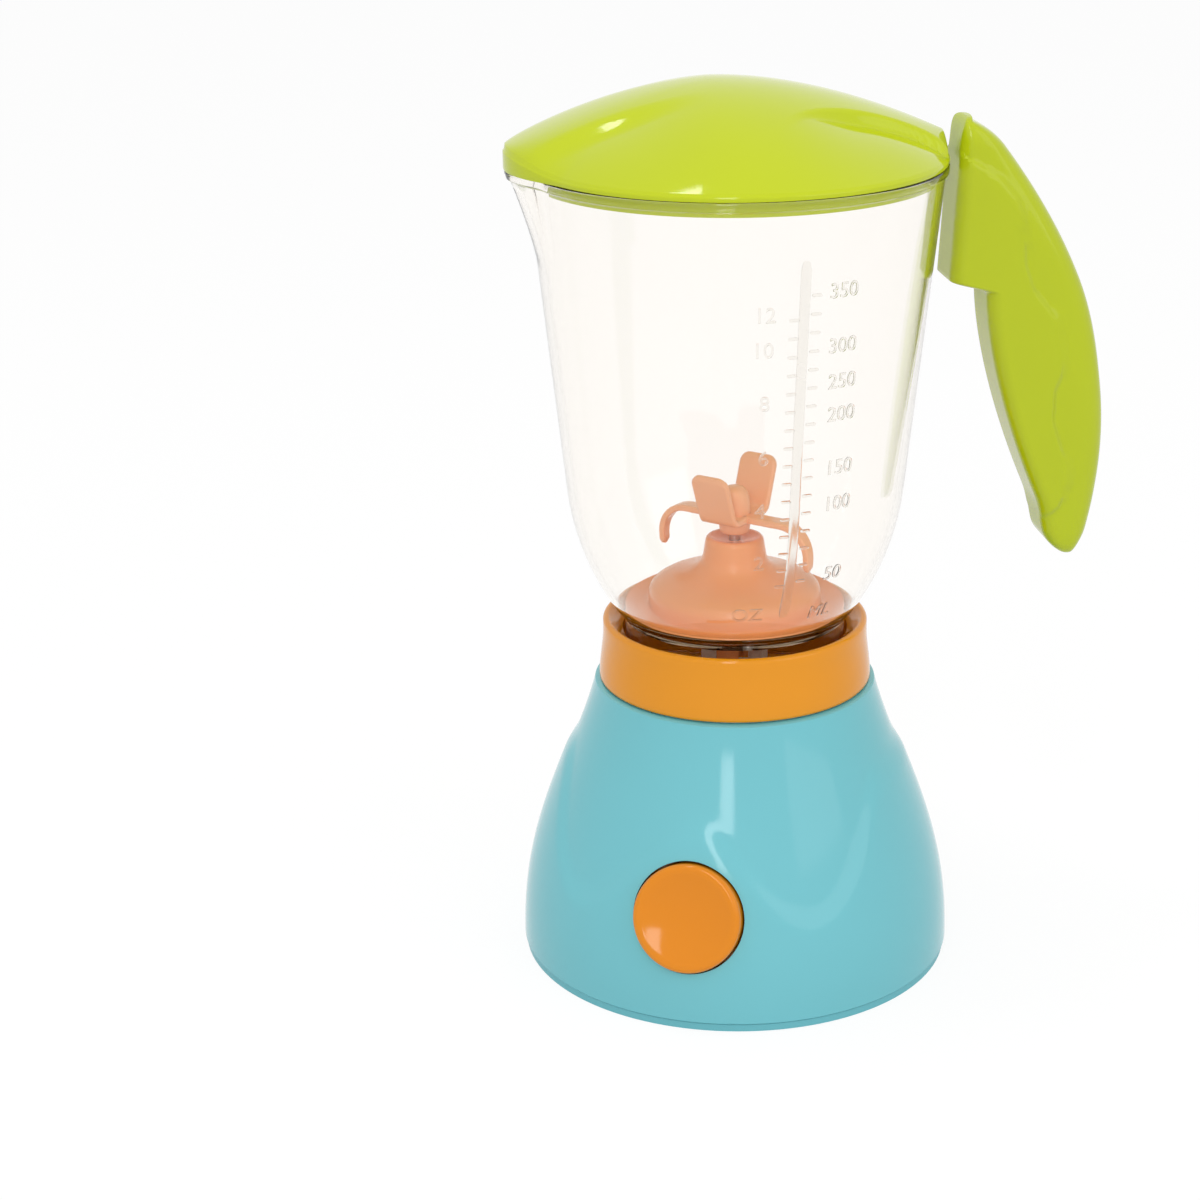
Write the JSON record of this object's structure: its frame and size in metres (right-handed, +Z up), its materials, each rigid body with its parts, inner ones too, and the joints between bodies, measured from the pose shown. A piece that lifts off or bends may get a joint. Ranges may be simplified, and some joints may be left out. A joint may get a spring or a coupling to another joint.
{
  "type": "toy blender",
  "caption": "Battery toy blender: bell base with push button, geared motor drive, collar, clear lift-off jar with handle and spout, turning blades and lift-off lid.",
  "frame": {"origin": "on the table, under the middle of the round base", "axes": "+Z up, -Y towards the push button, +X to the right of someone facing the button; the handle stands 23 degrees from +X towards +Y"},
  "size_m": [0.1566, 0.1238, 0.247],
  "materials": {
    "blue_shell": "smooth moulded, soft gloss",
    "orange_collar": "smooth moulded, soft gloss",
    "orange_button": "smooth moulded, soft gloss",
    "clear_jar": "clear, polished",
    "green_handle": "smooth moulded, soft gloss",
    "green_lid": "smooth moulded, soft gloss",
    "coral_stand": "smooth moulded",
    "orange_blades": "smooth moulded",
    "white_plastic": "natural nylon",
    "steel": "plain",
    "contact_metal": "stamped strip",
    "brass_pinion": "turned",
    "cell_wrap": "printed sleeve without print"
  },
  "bodies": {
    "base": {"base_shell": "blue_shell", "collar": "orange_collar", "bottom_plate": "blue_shell", "case_screws": "steel", "collar_screws": "steel", "drive_bush": "white_plastic", "gearbox_case": "white_plastic", "gearbox_lid": "white_plastic", "gearbox_screws": "steel", "gear_pin": "steel", "motor_can": "steel", "motor_cap": "white_plastic", "cell_front": "cell_wrap", "cell_rear": "cell_wrap", "battery_springs": "steel", "battery_contacts": "contact_metal", "switch_bracket": "white_plastic", "bracket_screws": "steel", "switch_blades": "contact_metal", "button_spring": "steel"},
    "battery_door": {"battery_door": "blue_shell", "door_screw": "steel"},
    "button": {"button": "orange_button", "button_plunger": "white_plastic"},
    "drive": {"output_gear": "white_plastic", "drive_shaft": "steel", "drive_dog": "white_plastic"},
    "compound": {"compound_gear": "white_plastic"},
    "rotor": {"motor_shaft": "steel", "motor_pinion": "brass_pinion"},
    "jar": {"jar": "clear_jar", "handle_front": "green_handle", "handle_rear": "green_handle", "handle_screws": "steel", "blade_stand": "coral_stand", "stand_screws": "steel", "axle_bush": "white_plastic"},
    "blades": {"blade_rotor": "orange_blades", "blade_axle": "steel", "driven_dog": "coral_stand"},
    "lid": {"lid": "green_lid"}
  },
  "joints": [
    {"name": "jar_lift", "type": "slide", "parent": "base", "child": "jar", "axis": [0, 0, 1], "range_m": [0, 0.055]},
    {"name": "lid_lift", "type": "slide", "parent": "jar", "child": "lid", "axis": [0, 0, 1], "range_m": [0, 0.045]},
    {"name": "button_press", "type": "slide", "parent": "base", "child": "button", "axis": [0, 0.9563, -0.2924], "range_m": [0, 0.003], "stiffness_N_per_m": 700, "springref_m": -0.003, "deforming": ["button_spring"]},
    {"name": "door_swing", "type": "hinge", "parent": "base", "child": "battery_door", "pos_m": [-0.03785, 0.014, 0.0029], "axis": [0, 1, 0], "range_deg": [0, 55]},
    {"name": "drive_spin", "type": "hinge", "parent": "base", "child": "drive", "pos_m": [0, 0, 0], "axis": [0, 0, 1], "continuous": true},
    {"name": "compound_spin", "type": "hinge", "parent": "base", "child": "compound", "pos_m": [0, 0.0168, 0], "axis": [0, 0, 1], "continuous": true},
    {"name": "rotor_spin", "type": "hinge", "parent": "base", "child": "rotor", "pos_m": [0.01513, 0.01129, 0], "axis": [0, 0, 1], "continuous": true},
    {"name": "blade_spin", "type": "hinge", "parent": "jar", "child": "blades", "pos_m": [0, 0, 0], "axis": [0, 0, 1], "continuous": true}
  ],
  "couplings": [
    {"joint": "compound_spin", "follows": "drive_spin", "ratio": -3},
    {"joint": "rotor_spin", "follows": "drive_spin", "ratio": 10.8},
    {"joint": "blade_spin", "follows": "drive_spin", "ratio": 1}
  ]
}
